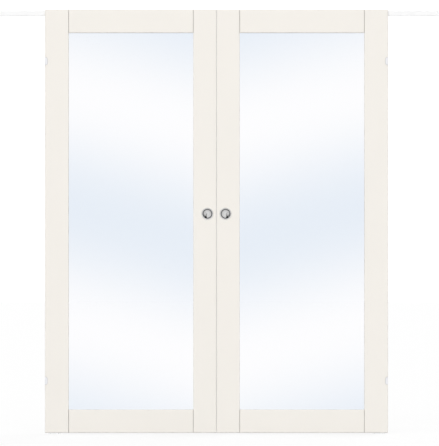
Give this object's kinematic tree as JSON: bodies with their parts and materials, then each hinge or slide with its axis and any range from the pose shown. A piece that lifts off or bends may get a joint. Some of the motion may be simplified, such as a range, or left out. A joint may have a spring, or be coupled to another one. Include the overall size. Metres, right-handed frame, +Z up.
{
  "type": "double sliding door",
  "caption": "Bi-parting pair of glazed sliding door leaves with painted stiles and rails and round flush pulls, hung on a concealed wall-fixed running track with floor guides.",
  "frame": {"origin": "on the finished floor, on the line where the two leaves meet, in the middle of the leaf thickness", "axes": "+X to the right seen from the room, +Y towards the wall behind the leaves, +Z up"},
  "size_m": [3.1254, 0.049, 2.046],
  "materials": {
    "paint": "satin",
    "glass": "gloss",
    "glazing_tape": "matte",
    "dowel_wood": "matte",
    "chrome": "polished",
    "edge_plug": "satin",
    "channel_aluminium": "satin",
    "zinc_steel": "satin",
    "axle_steel": "gloss",
    "trolley_metal": "matte",
    "wheel_nylon": "satin",
    "track_white": "matte",
    "bracket_white": "matte",
    "white_plastic": "satin",
    "buffer_rubber": "matte",
    "guide_plastic": "gloss"
  },
  "bodies": {
    "frame": {"running_track": "track_white", "track_end_caps": "white_plastic", "wall_brackets": "bracket_white", "track_screws": "zinc_steel", "track_stops": "trolley_metal", "stop_buffers": "buffer_rubber", "left_floor_guide": "guide_plastic", "right_floor_guide": "guide_plastic"},
    "left_leaf": {"left_outer_stile": "paint", "left_meeting_stile": "paint", "left_top_rail": "paint", "left_bottom_rail": "paint", "left_rail_dowels": "dowel_wood", "left_glass": "glass", "left_glazing_seals": "glazing_tape", "left_front_pull": "chrome", "left_back_pull": "chrome", "left_edge_plugs": "edge_plug", "left_guide_channel": "channel_aluminium", "left_hanger_plates": "zinc_steel", "left_plate_screws": "zinc_steel", "left_hanger_bolts": "zinc_steel", "left_lock_nuts": "zinc_steel", "left_wheel_axles": "axle_steel", "left_inner_trolley": "trolley_metal", "left_outer_trolley": "trolley_metal", "left_bead_top": "paint", "left_bead_bottom": "paint", "left_bead_outer": "paint", "left_bead_meeting": "paint"},
    "left_wheels_1": {"left_wheel_pair_1": "wheel_nylon"},
    "left_wheels_2": {"left_wheel_pair_2": "wheel_nylon"},
    "left_wheels_3": {"left_wheel_pair_3": "wheel_nylon"},
    "left_wheels_4": {"left_wheel_pair_4": "wheel_nylon"},
    "right_leaf": {"right_outer_stile": "paint", "right_meeting_stile": "paint", "right_top_rail": "paint", "right_bottom_rail": "paint", "right_rail_dowels": "dowel_wood", "right_glass": "glass", "right_glazing_seals": "glazing_tape", "right_front_pull": "chrome", "right_back_pull": "chrome", "right_edge_plugs": "edge_plug", "right_guide_channel": "channel_aluminium", "right_hanger_plates": "zinc_steel", "right_plate_screws": "zinc_steel", "right_hanger_bolts": "zinc_steel", "right_lock_nuts": "zinc_steel", "right_wheel_axles": "axle_steel", "right_inner_trolley": "trolley_metal", "right_outer_trolley": "trolley_metal", "right_bead_top": "paint", "right_bead_bottom": "paint", "right_bead_outer": "paint", "right_bead_meeting": "paint"},
    "right_wheels_1": {"right_wheel_pair_1": "wheel_nylon"},
    "right_wheels_2": {"right_wheel_pair_2": "wheel_nylon"},
    "right_wheels_3": {"right_wheel_pair_3": "wheel_nylon"},
    "right_wheels_4": {"right_wheel_pair_4": "wheel_nylon"}
  },
  "joints": [
    {"name": "left_slide", "type": "slide", "parent": "frame", "child": "left_leaf", "axis": [-1, 0, 0], "range_m": [0, 0.736]},
    {"name": "left_wheels_1_roll", "type": "hinge", "parent": "left_leaf", "child": "left_wheels_1", "pos_m": [-0.04075, 0.008, 2.0276], "axis": [0, 1, 0], "continuous": true},
    {"name": "left_wheels_2_roll", "type": "hinge", "parent": "left_leaf", "child": "left_wheels_2", "pos_m": [-0.08075, 0.008, 2.0276], "axis": [0, 1, 0], "continuous": true},
    {"name": "left_wheels_3_roll", "type": "hinge", "parent": "left_leaf", "child": "left_wheels_3", "pos_m": [-0.74675, 0.008, 2.0276], "axis": [0, 1, 0], "continuous": true},
    {"name": "left_wheels_4_roll", "type": "hinge", "parent": "left_leaf", "child": "left_wheels_4", "pos_m": [-0.78675, 0.008, 2.0276], "axis": [0, 1, 0], "continuous": true},
    {"name": "right_slide", "type": "slide", "parent": "frame", "child": "right_leaf", "axis": [1, 0, 0], "range_m": [0, 0.736]},
    {"name": "right_wheels_1_roll", "type": "hinge", "parent": "right_leaf", "child": "right_wheels_1", "pos_m": [0.04075, 0.008, 2.0276], "axis": [0, 1, 0], "continuous": true},
    {"name": "right_wheels_2_roll", "type": "hinge", "parent": "right_leaf", "child": "right_wheels_2", "pos_m": [0.08075, 0.008, 2.0276], "axis": [0, 1, 0], "continuous": true},
    {"name": "right_wheels_3_roll", "type": "hinge", "parent": "right_leaf", "child": "right_wheels_3", "pos_m": [0.74675, 0.008, 2.0276], "axis": [0, 1, 0], "continuous": true},
    {"name": "right_wheels_4_roll", "type": "hinge", "parent": "right_leaf", "child": "right_wheels_4", "pos_m": [0.78675, 0.008, 2.0276], "axis": [0, 1, 0], "continuous": true}
  ],
  "couplings": [
    {"joint": "left_wheels_1_roll", "follows": "left_slide", "rad_per_m": -111.11},
    {"joint": "left_wheels_2_roll", "follows": "left_slide", "rad_per_m": -111.11},
    {"joint": "left_wheels_3_roll", "follows": "left_slide", "rad_per_m": -111.11},
    {"joint": "left_wheels_4_roll", "follows": "left_slide", "rad_per_m": -111.11},
    {"joint": "right_wheels_1_roll", "follows": "right_slide", "rad_per_m": 111.11},
    {"joint": "right_wheels_2_roll", "follows": "right_slide", "rad_per_m": 111.11},
    {"joint": "right_wheels_3_roll", "follows": "right_slide", "rad_per_m": 111.11},
    {"joint": "right_wheels_4_roll", "follows": "right_slide", "rad_per_m": 111.11}
  ]
}
